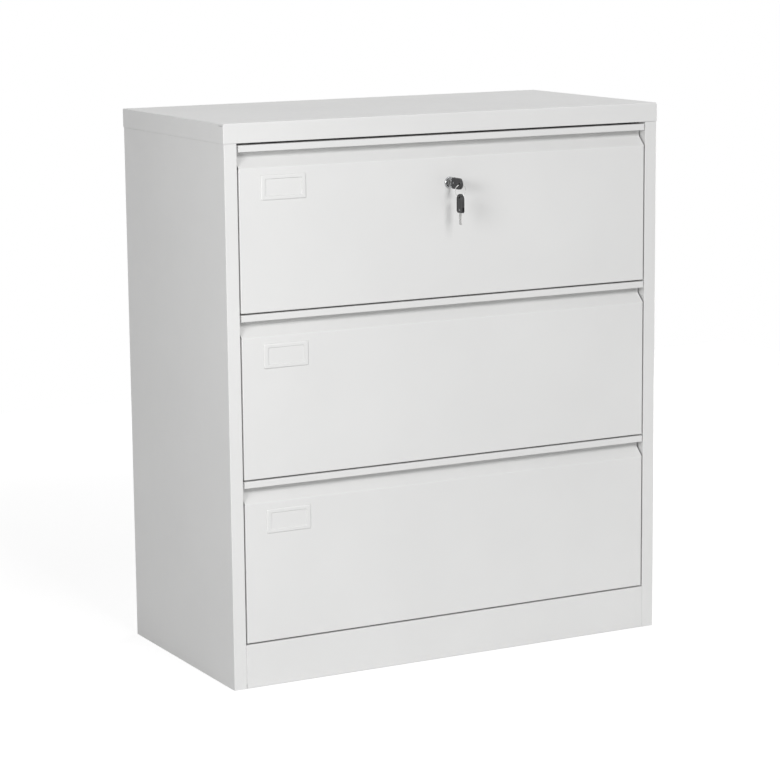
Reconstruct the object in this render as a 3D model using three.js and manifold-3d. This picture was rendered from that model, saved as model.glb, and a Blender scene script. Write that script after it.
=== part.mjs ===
// A three-drawer lateral filing cabinet in folded sheet steel, in millimetres.
// X runs to the right seen from the front, Y to the back, Z up. The origin is on the floor,
// under the middle of everything, the keys in the lock included.

import * as THREE from 'three';
import { mergeVertices } from 'three/addons/utils/BufferGeometryUtils.js';
import Module from 'manifold-3d';

// Carcass
const WIDTH = 900;
const DEPTH = 450;
const HEIGHT = 1020;
const SHEET = 0.8;
const SEAM = 0.3;
const CAP_HEIGHT = 35;
const PLINTH_HEIGHT = 81;
const FOOT_FLANGE = 25;
const STILE_WIDTH = 25;
const STILE_RETURN = 24;
const REAR_FLANGE = 20;

// Uprights that carry the slides, and the rail under the cap
const FRAME_SHEET = 1.2;
const UPRIGHT_WIDTH = 50;
const UPRIGHT_SETBACK = 6;
const RAIL_DEPTH = 40;
const RAIL_LIFT = 1;
const RAIL_SETBACK = 4;
const RAIL_TOP_FLANGE = 20;

// Drawers
const DRAWER_COUNT = 3;
const DRAWER_GAP = 3;
const TOP_GAP = 4;
const SIDE_GAP = 2.5;
const PULL_LIP = 12;
const PULL_DEPTH = 18.5;
const PULL_WALL_DROP = 23.5;
const PULL_SLOPE_DROP = 41;
const BODY_RISE = 12;
const BODY_TOP_DROP = 42;
const BODY_FLANGE = 8;
const BACK_FLANGE = 8;
const HANGER_WIDTH = 10;
const HANGER_HEIGHT = 16;
const HANGER_INSET = 6;
const HANGER_BEARING = 7;

// Label holders
const LABEL_WIDTH = 89;
const LABEL_HEIGHT = 45;
const LABEL_SIDE_BORDER = 9;
const LABEL_EDGE_BORDER = 7.75;
const LABEL_THICKNESS = 1.2;
const LABEL_INSET = 42;
const LABEL_DROP = 54;

// Ball slides: an outer, a middle and an inner member, nested
const SLIDE_SHEET = 1.2;
const SLIDE_HEIGHT = 45;
const SLIDE_THICKNESS = 12.5;
const SLIDE_BALL_GAP = 3.2;
const SLIDE_WEB_GAP = 0.6;
const SLIDE_RISE = 30;
const SLIDE_FRONT_CLEARANCE = 2;
const SLIDE_REAR_CLEARANCE = 20;

// Cam lock and its bolt
const LOCK_DROP = 87.4;
const BEZEL_DIAMETER = 21;
const BEZEL_PROUD = 3;
const BARREL_DIAMETER = 18.4;
const BARREL_CLEARANCE = 0.3;
const PLUG_DIAMETER = 12.4;
const PLUG_CLEARANCE = 0.3;
const PLUG_RECESS = 0.4;
const NUT_ACROSS_CORNERS = 27;
const NUT_THICKNESS = 4;
const CAM_THICKNESS = 2;
const CAM_HUB_DIAMETER = 14;
const CAM_TIP_DIAMETER = 8;
const CAM_CLEARANCE = 0.5;
const CRANK_RADIUS = 12;
const CRANK_PIN_DIAMETER = 4;
const CRANK_REST_ANGLE = 225;
const BOLT_THICKNESS = 3;
const BOLT_CLEARANCE = 2.4;
const BOLT_EDGE = 2.6;
const BOLT_SINK = 1;
const BOLT_SLOT_PLAY = 0.7;
const BOLT_GUIDE_PLAY = 0.8;

// Folding keys and their ring
const KEY_STANDOFF = 11.25;
const KEY_HEAD_LENGTH = 34.5;
const KEY_HEAD_WIDTH = 20.5;
const KEY_HEAD_THICKNESS = 5.6;
const KEY_HEAD_CHAMFER = 3;
const KEY_PIVOT_INSET = 5.5;
const KEY_PIVOT_DIAMETER = 2.4;
const KEY_PIVOT_PLAY = 0.3;
const KEY_HOLE_INSET = 6;
const KEY_HOLE_DIAMETER = 4.4;
const KEY_BLADE_LENGTH = 22;
const KEY_BLADE_WIDTH = 8;
const KEY_BLADE_THICKNESS = 2;
const KEY_BLADE_POINT = 2.5;
const KEY_SLOT_PLAY = 0.4;
const RING_DIAMETER = 22;
const RING_WIRE = 1.4;
const RING_DROP = 0.9;

// Facet counts for round pieces
const ROUND_STEPS = 24;
const ARC_STEPS = 8;
const RING_STEPS = 32;
const WIRE_STEPS = 8;

// Places that follow from the sizes above
const CAP_REACH = SEAM + SHEET;
const CAP_UNDERSIDE = HEIGHT - SHEET;
const CARCASS_TOP = CAP_UNDERSIDE - SEAM;
const INNER_HALF = WIDTH / 2 - STILE_WIDTH;
const SKIN_INSIDE = WIDTH / 2 - SHEET;
const BACK_FACE = DEPTH - 2 * SHEET - SEAM;
const DRAWERS_TOP = HEIGHT - CAP_HEIGHT - TOP_GAP;
const DRAWER_PITCH = (DRAWERS_TOP - PLINTH_HEIGHT) / DRAWER_COUNT;
const DRAWER_HEIGHT = DRAWER_PITCH - DRAWER_GAP;
const FRONT_WIDTH = 2 * (INNER_HALF - SIDE_GAP);
const BOLT_FRONT = PULL_DEPTH + SHEET + BOLT_CLEARANCE;
const BOLT_REAR = BOLT_FRONT + BOLT_THICKNESS;
const FRONT_THICKNESS = BOLT_REAR + BOLT_CLEARANCE + SHEET;
const SLIDE_OUTSIDE = INNER_HALF - SEAM;
const SLIDE_INSIDE = SLIDE_OUTSIDE - SLIDE_THICKNESS;
const SLIDE_FRONT = FRONT_THICKNESS + SLIDE_FRONT_CLEARANCE;
const SLIDE_REAR = DEPTH - SLIDE_REAR_CLEARANCE;
const SLIDE_LENGTH = SLIDE_REAR - SLIDE_FRONT;
const BODY_HALF = SLIDE_INSIDE - SEAM;
const BODY_FRONT = FRONT_THICKNESS + SEAM;
const BODY_TOP = DRAWER_HEIGHT - BODY_TOP_DROP;
const LOCK_HEIGHT = DRAWER_HEIGHT - LOCK_DROP;
const CAM_REAR = BOLT_FRONT - CAM_CLEARANCE;
const CAM_FRONT = CAM_REAR - CAM_THICKNESS;
const BARREL_REAR = CAM_FRONT - CAM_CLEARANCE;
const CRANK_REST = THREE.MathUtils.degToRad(CRANK_REST_ANGLE);
const CRANK_REST_X = CRANK_RADIUS * Math.cos(CRANK_REST);
const CRANK_REST_Z = CRANK_RADIUS * Math.sin(CRANK_REST);
const KEY_PIVOT = KEY_STANDOFF + KEY_PIVOT_INSET;
const KEY_PIVOT_TO_HOLE = KEY_HEAD_LENGTH - KEY_PIVOT_INSET - KEY_HOLE_INSET;
const KEY_HOLE = KEY_PIVOT + KEY_PIVOT_TO_HOLE;
const KEY_REACH = KEY_HOLE + Math.max(KEY_HEAD_WIDTH / 2, KEY_HOLE_INSET);
const BOLT_LEFT = -CRANK_RADIUS - CRANK_PIN_DIAMETER / 2 - BOLT_SLOT_PLAY - BOLT_EDGE;
const BOLT_RIGHT = CRANK_REST_X + CRANK_PIN_DIAMETER / 2 + BOLT_SLOT_PLAY + BOLT_EDGE;

const wasm = await Module();
wasm.setup();

// Shape helpers: a folded sheet is a polyline with its thickness on the right of the way it runs.

function sheetOutline(points, thickness) {
  const face = points.map(([u, v]) => new THREE.Vector2(u, v));
  const ways = face.slice(1).map((p, i) => p.clone().sub(face[i]).normalize());
  const rights = ways.map((w) => new THREE.Vector2(w.y, -w.x));
  const inner = face.map((p, i) => {
    const before = rights[Math.max(i - 1, 0)];
    const after = rights[Math.min(i, rights.length - 1)];
    const mitre = before.clone().add(after).divideScalar(1 + before.dot(after));
    return p.clone().addScaledVector(mitre, thickness);
  });
  return new THREE.Shape([...face, ...inner.reverse()]);
}

function extrude(shape, length) {
  return new THREE.ExtrudeGeometry(shape, {
    depth: length,
    bevelEnabled: false,
    curveSegments: ARC_STEPS,
  });
}

function alongX(shape, length) {
  const basis = new THREE.Matrix4().makeBasis(
    new THREE.Vector3(0, 1, 0),
    new THREE.Vector3(0, 0, 1),
    new THREE.Vector3(1, 0, 0),
  );
  return extrude(shape, length).applyMatrix4(basis).translate(-length / 2, 0, 0);
}

function alongY(shape, length) {
  const basis = new THREE.Matrix4().makeBasis(
    new THREE.Vector3(1, 0, 0),
    new THREE.Vector3(0, 0, 1),
    new THREE.Vector3(0, -1, 0),
  );
  return extrude(shape, length).applyMatrix4(basis).translate(0, length, 0);
}

function box(low, high) {
  const size = high.map((h, i) => h - low[i]);
  const centre = high.map((h, i) => (h + low[i]) / 2);
  return new THREE.BoxGeometry(...size).translate(...centre);
}

function cylinderAlongY(diameter, front, rear) {
  const length = rear - front;
  const radius = diameter / 2;
  const cylinder = new THREE.CylinderGeometry(radius, radius, length, ROUND_STEPS);
  return cylinder.translate(0, front + length / 2, 0);
}

function cylinderAlongX(diameter, length) {
  const radius = diameter / 2;
  return new THREE.CylinderGeometry(radius, radius, length, ROUND_STEPS).rotateZ(Math.PI / 2);
}

function solid(geometry) {
  const bare = geometry.clone();
  bare.deleteAttribute('normal');
  bare.deleteAttribute('uv');
  const merged = mergeVertices(bare);
  return new wasm.Manifold(new wasm.Mesh({
    numProp: 3,
    vertProperties: new Float32Array(merged.attributes.position.array),
    triVerts: new Uint32Array(merged.index.array),
  }));
}

function join(...geometries) {
  return shape(geometries.map(solid).reduce((whole, more) => whole.add(more)));
}

function cut(geometry, ...tools) {
  return shape(tools.map(solid).reduce((whole, tool) => whole.subtract(tool), solid(geometry)));
}

function shape(manifold) {
  const mesh = manifold.getMesh();
  const geometry = new THREE.BufferGeometry();
  geometry.setAttribute('position', new THREE.BufferAttribute(mesh.vertProperties, 3));
  geometry.setIndex(new THREE.BufferAttribute(mesh.triVerts, 1));
  geometry.computeVertexNormals();
  return geometry;
}

// Finishes

function finish(color, roughness, metalness) {
  return new THREE.MeshStandardMaterial({ color, roughness, metalness });
}

const paint = () => finish(0xdfdfde, 0.5, 0);
const zinc = () => finish(0xb9bcbf, 0.35, 1);
const chrome = () => finish(0xd8dadc, 0.12, 1);
const blackPlastic = () => finish(0x1d1d1e, 0.45, 0);

function piece(name, geometry, material, parent) {
  const mesh = new THREE.Mesh(geometry, material);
  mesh.name = name;
  parent.add(mesh);
  return mesh;
}

// Carcass: side panels, back, base, uprights, top rail and cap

function sidePanel(side) {
  const plan = [
    [INNER_HALF, STILE_RETURN],
    [INNER_HALF, 0],
    [WIDTH / 2, 0],
    [WIDTH / 2, DEPTH],
    [WIDTH / 2 - REAR_FLANGE, DEPTH],
  ].map(([x, y]) => [side * x, y]);
  const outline = sheetOutline(side > 0 ? plan : plan.reverse(), -SHEET);
  return extrude(outline, CARCASS_TOP);
}

function upright(side, front) {
  const rear = front + UPRIGHT_WIDTH;
  const plan = [
    [SKIN_INSIDE - SEAM, front],
    [INNER_HALF, front],
    [INNER_HALF, rear],
    [SKIN_INSIDE - SEAM, rear],
  ].map(([x, y]) => [side * x, y]);
  const outline = sheetOutline(side > 0 ? plan : plan.reverse(), FRAME_SHEET);
  return extrude(outline, CARCASS_TOP);
}

function backPanel() {
  const half = SKIN_INSIDE - SEAM;
  return box([-half, BACK_FACE, 0], [half, BACK_FACE + SHEET, CARCASS_TOP]);
}

function basePanel() {
  const skirt = BACK_FACE - SEAM;
  const section = [
    [FOOT_FLANGE, 0],
    [0, 0],
    [0, PLINTH_HEIGHT],
    [skirt, PLINTH_HEIGHT],
    [skirt, 0],
    [skirt - FOOT_FLANGE, 0],
  ];
  return alongX(sheetOutline(section, SHEET), 2 * (INNER_HALF - SEAM));
}

function boltOpening(low, high) {
  return box(
    [BOLT_LEFT - BOLT_GUIDE_PLAY, BOLT_FRONT - BOLT_GUIDE_PLAY, low],
    [BOLT_RIGHT + BOLT_GUIDE_PLAY, BOLT_REAR + BOLT_GUIDE_PLAY, high],
  );
}

function topFrontRail() {
  const underside = HEIGHT - CAP_HEIGHT + RAIL_LIFT;
  const section = [
    [RAIL_SETBACK, underside],
    [RAIL_DEPTH, underside],
    [RAIL_DEPTH, CARCASS_TOP],
    [RAIL_DEPTH - RAIL_TOP_FLANGE, CARCASS_TOP],
  ];
  const channel = alongX(sheetOutline(section, -FRAME_SHEET), 2 * (INNER_HALF - SEAM));
  return cut(channel, boltOpening(underside - FRAME_SHEET, underside + 2 * FRAME_SHEET));
}

function topPanel() {
  const half = WIDTH / 2 + CAP_REACH;
  const inner = half - SHEET;
  const outside = box([-half, -CAP_REACH, HEIGHT - CAP_HEIGHT], [half, DEPTH + CAP_REACH, HEIGHT]);
  const hollow = box(
    [-inner, SHEET - CAP_REACH, HEIGHT - 2 * CAP_HEIGHT],
    [inner, DEPTH + CAP_REACH - SHEET, CAP_UNDERSIDE],
  );
  return cut(outside, hollow);
}

// Slides: sections in X and Z, with the web towards the carcass for the outer and middle members
// and towards the drawer for the inner one

const MIDDLE_OUTSIDE = SLIDE_OUTSIDE - SLIDE_SHEET - SLIDE_WEB_GAP;
const INNER_WEB = SLIDE_INSIDE + SLIDE_SHEET;
const MIDDLE_FLANGE_END = INNER_WEB + SLIDE_WEB_GAP;
const MIDDLE_INSET = SLIDE_SHEET + SLIDE_BALL_GAP;

function slideMember(side, web, flangeEnd, inset) {
  const low = SLIDE_RISE + inset;
  const high = SLIDE_RISE + SLIDE_HEIGHT - inset;
  const section = [
    [flangeEnd, low],
    [web, low],
    [web, high],
    [flangeEnd, high],
  ].map(([x, z]) => [side * x, z]);
  const turnsLeft = (web > flangeEnd) === (side > 0);
  const outline = sheetOutline(section, turnsLeft ? -SLIDE_SHEET : SLIDE_SHEET);
  return alongY(outline, SLIDE_LENGTH).translate(0, SLIDE_FRONT, 0);
}

const slideOuter = (side) => slideMember(side, SLIDE_OUTSIDE, INNER_WEB, 0);
const slideMiddle = (side) => slideMember(side, MIDDLE_OUTSIDE, MIDDLE_FLANGE_END, MIDDLE_INSET);
const slideInner = (side) => slideMember(
  side,
  SLIDE_INSIDE,
  MIDDLE_OUTSIDE - SLIDE_SHEET - SLIDE_WEB_GAP,
  2 * MIDDLE_INSET,
);

// Drawer pieces, each from the drawer's own bottom edge

function drawerFront(hasLock) {
  const seat = FRONT_THICKNESS - SHEET - SEAM;
  const section = [
    [seat, 0],
    [0, 0],
    [0, DRAWER_HEIGHT - PULL_SLOPE_DROP],
    [PULL_DEPTH, DRAWER_HEIGHT - PULL_WALL_DROP],
    [PULL_DEPTH, DRAWER_HEIGHT - SHEET],
    [SHEET, DRAWER_HEIGHT - SHEET],
    [SHEET, DRAWER_HEIGHT - PULL_LIP],
  ];
  const half = FRONT_WIDTH / 2;
  const returnTop = DRAWER_HEIGHT - PULL_SLOPE_DROP;
  const returns = [-1, 1].map((side) => {
    const edges = [side * half, side * (half - SHEET)].sort((a, b) => a - b);
    return box([edges[0], 0, 0], [edges[1], seat, returnTop]);
  });
  const front = join(alongX(sheetOutline(section, SHEET), FRONT_WIDTH), ...returns);
  if (!hasLock) {
    return front;
  }
  const hole = cylinderAlongY(BARREL_DIAMETER + 2 * BARREL_CLEARANCE, -SHEET, 2 * SHEET);
  return cut(front, hole.translate(0, 0, LOCK_HEIGHT));
}

function frontLiner(hasLock) {
  const section = [
    [PULL_DEPTH + SHEET + SEAM, DRAWER_HEIGHT],
    [FRONT_THICKNESS, DRAWER_HEIGHT],
    [FRONT_THICKNESS, 0],
  ];
  const liner = alongX(sheetOutline(section, SHEET), FRONT_WIDTH - 2 * SHEET);
  if (!hasLock) {
    return liner;
  }
  return cut(liner, boltOpening(DRAWER_HEIGHT - 2 * SHEET, DRAWER_HEIGHT + SHEET));
}

function drawerBody() {
  const section = [
    [BODY_FLANGE - BODY_HALF, BODY_TOP],
    [-BODY_HALF, BODY_TOP],
    [-BODY_HALF, BODY_RISE],
    [BODY_HALF, BODY_RISE],
    [BODY_HALF, BODY_TOP],
    [BODY_HALF - BODY_FLANGE, BODY_TOP],
  ];
  const length = SLIDE_REAR - BODY_FRONT;
  return alongY(sheetOutline(section, -SHEET), length).translate(0, BODY_FRONT, 0);
}

function drawerBack() {
  const inside = SLIDE_REAR - SHEET;
  const flange = BODY_TOP - 2 * SHEET - SEAM;
  const section = [
    [inside, BODY_RISE + SHEET + SEAM],
    [inside, flange],
    [inside - BACK_FLANGE, flange],
  ];
  return alongX(sheetOutline(section, SHEET), 2 * (BODY_HALF - SHEET - SEAM));
}

function hangingRail(middle) {
  const web = BODY_TOP + SEAM + FRAME_SHEET;
  const front = middle - HANGER_WIDTH / 2;
  const rear = middle + HANGER_WIDTH / 2;
  const section = [
    [front, web - HANGER_HEIGHT],
    [front, web],
    [rear, web],
    [rear, web - HANGER_HEIGHT],
  ];
  const legs = BODY_HALF - BODY_FLANGE - SEAM;
  const bearing = legs + HANGER_BEARING;
  return join(
    alongX(sheetOutline(section, FRAME_SHEET), 2 * legs),
    box([-bearing, front, web - FRAME_SHEET], [bearing, rear, web]),
  );
}

function labelHolder() {
  const frame = new THREE.Shape([
    new THREE.Vector2(0, 0),
    new THREE.Vector2(LABEL_WIDTH, 0),
    new THREE.Vector2(LABEL_WIDTH, LABEL_HEIGHT),
    new THREE.Vector2(0, LABEL_HEIGHT),
  ]);
  const right = LABEL_WIDTH - LABEL_SIDE_BORDER;
  const top = LABEL_HEIGHT - LABEL_EDGE_BORDER;
  frame.holes.push(new THREE.Path([
    new THREE.Vector2(LABEL_SIDE_BORDER, LABEL_EDGE_BORDER),
    new THREE.Vector2(right, LABEL_EDGE_BORDER),
    new THREE.Vector2(right, top),
    new THREE.Vector2(LABEL_SIDE_BORDER, top),
  ]));
  return alongY(frame, LABEL_THICKNESS);
}

// Lock pieces, on an axis along Y through the origin, with the drawer's face at Y = 0

function lockBarrel() {
  const bore = PLUG_DIAMETER / 2 + PLUG_CLEARANCE;
  const profile = [
    [bore, -BEZEL_PROUD],
    [BEZEL_DIAMETER / 2, -BEZEL_PROUD],
    [BEZEL_DIAMETER / 2, -SEAM],
    [BARREL_DIAMETER / 2, -SEAM],
    [BARREL_DIAMETER / 2, BARREL_REAR],
    [bore, BARREL_REAR],
    [bore, -BEZEL_PROUD],
  ];
  const points = profile.map(([r, y]) => new THREE.Vector2(r, y));
  return new THREE.LatheGeometry(points, ROUND_STEPS);
}

function lockNut() {
  const corners = Array.from({ length: 6 }, (_, i) => {
    const angle = (i * Math.PI) / 3;
    const radius = NUT_ACROSS_CORNERS / 2;
    return new THREE.Vector2(radius * Math.cos(angle), radius * Math.sin(angle));
  });
  const hexagon = new THREE.Shape(corners);
  const bore = new THREE.Path();
  bore.absarc(0, 0, BARREL_DIAMETER / 2 + BARREL_CLEARANCE, 0, 2 * Math.PI, true);
  hexagon.holes.push(bore);
  return alongY(hexagon, NUT_THICKNESS).translate(0, SHEET + SEAM, 0);
}

function lockPlug() {
  const face = PLUG_RECESS - BEZEL_PROUD;
  const tip = KEY_BLADE_LENGTH - KEY_STANDOFF + KEY_SLOT_PLAY;
  const halfSlot = KEY_BLADE_THICKNESS / 2 + KEY_SLOT_PLAY;
  const halfBlade = KEY_BLADE_WIDTH / 2 + KEY_SLOT_PLAY;
  const slot = box([-halfSlot, face - BEZEL_PROUD, -halfBlade], [halfSlot, tip, halfBlade]);
  return cut(cylinderAlongY(PLUG_DIAMETER, face, CAM_FRONT - SEAM), slot);
}

function lockCam() {
  const halfTip = CAM_TIP_DIAMETER / 2;
  const arm = box([0, CAM_FRONT, -halfTip], [CRANK_RADIUS, CAM_REAR, halfTip]);
  const tip = cylinderAlongY(CAM_TIP_DIAMETER, CAM_FRONT, CAM_REAR).translate(CRANK_RADIUS, 0, 0);
  const pin = cylinderAlongY(CRANK_PIN_DIAMETER, CAM_FRONT, BOLT_REAR).translate(CRANK_RADIUS, 0, 0);
  const hub = cylinderAlongY(CAM_HUB_DIAMETER, CAM_FRONT, CAM_REAR);
  return join(hub, arm, tip, pin).rotateY(-CRANK_REST);
}

function lockBolt() {
  const pin = CRANK_PIN_DIAMETER / 2 + BOLT_SLOT_PLAY;
  const bottom = CRANK_REST_Z - pin - BOLT_EDGE;
  const top = LOCK_DROP - BOLT_SINK;
  const bar = box([BOLT_LEFT, BOLT_FRONT, bottom], [BOLT_RIGHT, BOLT_REAR, top]);
  const slot = box(
    [BOLT_LEFT + BOLT_EDGE, BOLT_FRONT - BOLT_CLEARANCE, CRANK_REST_Z - pin],
    [BOLT_RIGHT - BOLT_EDGE, BOLT_REAR + BOLT_CLEARANCE, CRANK_REST_Z + pin],
  );
  return cut(bar, slot);
}

// Key pieces, with the rivet's axis along X through the origin and the ring hole towards -Y

function keyBlade() {
  const half = KEY_BLADE_WIDTH / 2;
  const tip = KEY_PIVOT_INSET + KEY_BLADE_LENGTH;
  const outline = new THREE.Shape();
  outline.moveTo(0, -half);
  outline.lineTo(tip - KEY_BLADE_POINT, -half);
  outline.lineTo(tip, KEY_BLADE_POINT - half);
  outline.lineTo(tip, half - KEY_BLADE_POINT);
  outline.lineTo(tip - KEY_BLADE_POINT, half);
  outline.lineTo(0, half);
  outline.absarc(0, 0, half, Math.PI / 2, (3 * Math.PI) / 2, false);
  const rivetHole = new THREE.Path();
  rivetHole.absarc(0, 0, KEY_PIVOT_DIAMETER / 2 + KEY_PIVOT_PLAY, 0, 2 * Math.PI, true);
  outline.holes.push(rivetHole);
  return alongX(outline, KEY_BLADE_THICKNESS);
}

function keyHead() {
  const half = KEY_HEAD_WIDTH / 2;
  const near = KEY_PIVOT_INSET;
  const far = near - KEY_HEAD_LENGTH;
  const outline = new THREE.Shape();
  outline.moveTo(near, KEY_HEAD_CHAMFER - half);
  outline.lineTo(near, half - KEY_HEAD_CHAMFER);
  outline.lineTo(near - KEY_HEAD_CHAMFER, half);
  outline.lineTo(far + half, half);
  outline.absarc(far + half, 0, half, Math.PI / 2, (3 * Math.PI) / 2, false);
  outline.lineTo(near - KEY_HEAD_CHAMFER, -half);
  const ringHole = new THREE.Path();
  ringHole.absarc(-KEY_PIVOT_TO_HOLE, 0, KEY_HOLE_DIAMETER / 2, 0, 2 * Math.PI, true);
  outline.holes.push(ringHole);
  const bladeSlot = KEY_BLADE_THICKNESS / 2 + KEY_SLOT_PLAY;
  const slotEnd = KEY_BLADE_WIDTH / 2 + KEY_SLOT_PLAY;
  const cheeks = cut(
    alongX(outline, KEY_HEAD_THICKNESS),
    box([-bladeSlot, -slotEnd, -KEY_HEAD_WIDTH], [bladeSlot, KEY_HEAD_LENGTH, KEY_HEAD_WIDTH]),
  );
  return join(cheeks, cylinderAlongX(KEY_PIVOT_DIAMETER, KEY_HEAD_THICKNESS));
}

function keyRing() {
  const ring = new THREE.TorusGeometry(RING_DIAMETER / 2, RING_WIRE / 2, WIRE_STEPS, RING_STEPS);
  return ring.rotateX(Math.PI / 2);
}

// Assembly

const SIDES = [['left', -1], ['right', 1]];
const cabinet = new THREE.Group();
cabinet.position.y = (KEY_REACH - DEPTH - CAP_REACH) / 2;

piece('top_panel', topPanel(), paint(), cabinet);
piece('back_panel', backPanel(), paint(), cabinet);
piece('base_panel', basePanel(), paint(), cabinet);
piece('top_front_rail', topFrontRail(), paint(), cabinet);
for (const [word, side] of SIDES) {
  piece(`${word}_side_panel`, sidePanel(side), paint(), cabinet);
  piece(`${word}_front_upright`, upright(side, STILE_RETURN + UPRIGHT_SETBACK), zinc(), cabinet);
  piece(`${word}_rear_upright`, upright(side, SLIDE_REAR - UPRIGHT_WIDTH), zinc(), cabinet);
}

for (let number = 1; number <= DRAWER_COUNT; number += 1) {
  const drawer = new THREE.Group();
  drawer.position.z = DRAWERS_TOP - (number - 1) * DRAWER_PITCH - DRAWER_HEIGHT;
  cabinet.add(drawer);
  const hasLock = number === 1;
  const name = `drawer_${number}`;
  piece(`${name}_front`, drawerFront(hasLock), paint(), drawer);
  piece(`${name}_front_liner`, frontLiner(hasLock), paint(), drawer);
  piece(`${name}_body`, drawerBody(), paint(), drawer);
  piece(`${name}_back`, drawerBack(), paint(), drawer);
  const hangerReach = HANGER_INSET + HANGER_WIDTH / 2;
  piece(`${name}_front_hanging_rail`, hangingRail(BODY_FRONT + hangerReach), zinc(), drawer);
  piece(`${name}_rear_hanging_rail`, hangingRail(SLIDE_REAR - BACK_FLANGE - hangerReach), zinc(), drawer);
  const label = piece(`${name}_label_holder`, labelHolder(), paint(), drawer);
  label.position.set(
    LABEL_INSET - FRONT_WIDTH / 2,
    -SEAM - LABEL_THICKNESS,
    DRAWER_HEIGHT - LABEL_DROP - LABEL_HEIGHT,
  );
  for (const [word, side] of SIDES) {
    piece(`${name}_${word}_slide_outer`, slideOuter(side), zinc(), drawer);
    piece(`${name}_${word}_slide_middle`, slideMiddle(side), zinc(), drawer);
    piece(`${name}_${word}_slide_inner`, slideInner(side), zinc(), drawer);
  }
  if (hasLock) {
    drawer.add(lockAndKeys());
  }
}

function lockAndKeys() {
  const lock = new THREE.Group();
  lock.position.z = LOCK_HEIGHT;
  piece('lock_barrel', lockBarrel(), chrome(), lock);
  piece('lock_nut', lockNut(), zinc(), lock);
  piece('lock_plug', lockPlug(), chrome(), lock);
  piece('lock_cam', lockCam(), zinc(), lock);
  piece('lock_bolt', lockBolt(), zinc(), lock);

  const key = new THREE.Group();
  key.position.y = -KEY_PIVOT;
  piece('key_blade', keyBlade(), chrome(), key);
  piece('key_head', keyHead(), blackPlastic(), key);
  lock.add(key);

  const ringTop = -RING_DROP;
  const ring = piece('key_ring', keyRing(), chrome(), lock);
  ring.position.set(0, -KEY_HOLE, ringTop - RING_DIAMETER / 2);

  const spare = new THREE.Group();
  const spareHole = ringTop - RING_DIAMETER - RING_DROP;
  spare.position.set(0, -KEY_HOLE, spareHole - KEY_PIVOT_TO_HOLE);
  spare.rotation.x = -Math.PI / 2;
  piece('spare_key_blade', keyBlade(), chrome(), spare);
  piece('spare_key_head', keyHead(), blackPlastic(), spare);
  lock.add(spare);
  return lock;
}

export default cabinet;
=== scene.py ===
import math

import bmesh
import bpy
from mathutils import Matrix, Vector


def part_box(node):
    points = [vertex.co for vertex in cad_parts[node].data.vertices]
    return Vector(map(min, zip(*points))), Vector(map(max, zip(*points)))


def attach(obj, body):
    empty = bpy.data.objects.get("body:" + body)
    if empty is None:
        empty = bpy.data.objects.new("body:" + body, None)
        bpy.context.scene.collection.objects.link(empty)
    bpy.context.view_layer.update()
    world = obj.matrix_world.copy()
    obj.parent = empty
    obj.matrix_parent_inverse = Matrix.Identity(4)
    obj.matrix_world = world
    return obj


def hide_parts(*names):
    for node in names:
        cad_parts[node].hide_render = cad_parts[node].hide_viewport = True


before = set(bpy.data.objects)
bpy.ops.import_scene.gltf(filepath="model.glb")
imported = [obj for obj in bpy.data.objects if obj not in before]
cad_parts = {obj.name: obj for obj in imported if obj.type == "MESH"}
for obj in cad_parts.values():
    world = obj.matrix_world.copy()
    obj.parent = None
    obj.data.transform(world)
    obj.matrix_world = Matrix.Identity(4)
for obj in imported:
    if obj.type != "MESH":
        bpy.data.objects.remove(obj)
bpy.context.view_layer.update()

# Studio: a white floor that keeps a faint shadow near the cabinet, a white sky, a broad lamp ahead, a soft
# one to the left, a weak one overhead and one low behind. The camera stands to the left of the front, a
# little above the cabinet.
CAMERA_PLACE = Vector((-2.38782, -4.43567, 1.38005))
CAMERA_AZIMUTH = math.radians(-28.0933)
CAMERA_DROP = math.radians(10.1431)
CAMERA_ROLL = math.radians(-0.5474)
CAMERA_LENS_MM = 123.437
WHITE = (1, 1, 1, 1)
SKY_STRENGTH = 0.25
FLOOR_HALF = 2.6
FLOOR_BOUNCE = 0.66
FLOOR_SHADOW_SHARE = 0.3
FLOOR_GLOW_NEAR = 0.81
FLOOR_GLOW_FAR = 0.88
FLOOR_NEAR = 0.9
FLOOR_FAR = 2.2

scene = bpy.context.scene
scene.view_settings.view_transform = "Standard"


def facing(direction, roll=0.0):
    level = Vector((direction.y, -direction.x, 0)).normalized()
    upright = level.cross(direction)
    right = level * math.cos(roll) + upright * math.sin(roll)
    up = upright * math.cos(roll) - level * math.sin(roll)
    return Matrix((right, up, -direction)).transposed().to_4x4()


def in_scene(name, data):
    thing = bpy.data.objects.new(name, data)
    scene.collection.objects.link(thing)
    return thing


sight = Vector((
    -math.sin(CAMERA_AZIMUTH) * math.cos(CAMERA_DROP),
    math.cos(CAMERA_AZIMUTH) * math.cos(CAMERA_DROP),
    -math.sin(CAMERA_DROP),
))
camera = in_scene("camera", bpy.data.cameras.new("camera"))
camera.data.lens = CAMERA_LENS_MM
camera.matrix_world = Matrix.Translation(CAMERA_PLACE) @ facing(sight, CAMERA_ROLL)
scene.camera = camera


def studio_lamp(name, place, target, diameter, watts):
    lamp = in_scene(name, bpy.data.lights.new(name, "AREA"))
    lamp.data.shape = "DISK"
    lamp.data.size = diameter
    lamp.data.energy = watts
    aim = (Vector(target) - Vector(place)).normalized()
    lamp.matrix_world = Matrix.Translation(place) @ facing(aim)
    lamp.visible_camera = False


studio_lamp("front_lamp", place=(0.5, -11.4, 7.5), target=(0, -0.2, 0.6), diameter=4.3, watts=890)
studio_lamp("left_lamp", place=(-2.1, -1.4, 1.35), target=(0, -0.1, 0.5), diameter=0.9, watts=21)
studio_lamp("top_lamp", place=(1.1, 0.4, 3.4), target=(0.1, 0.1, 1.0), diameter=1.2, watts=11)
studio_lamp("back_lamp", place=(2.6, 1.9, 0.5), target=(0, 0.25, 0.5), diameter=0.9, watts=45)


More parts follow.
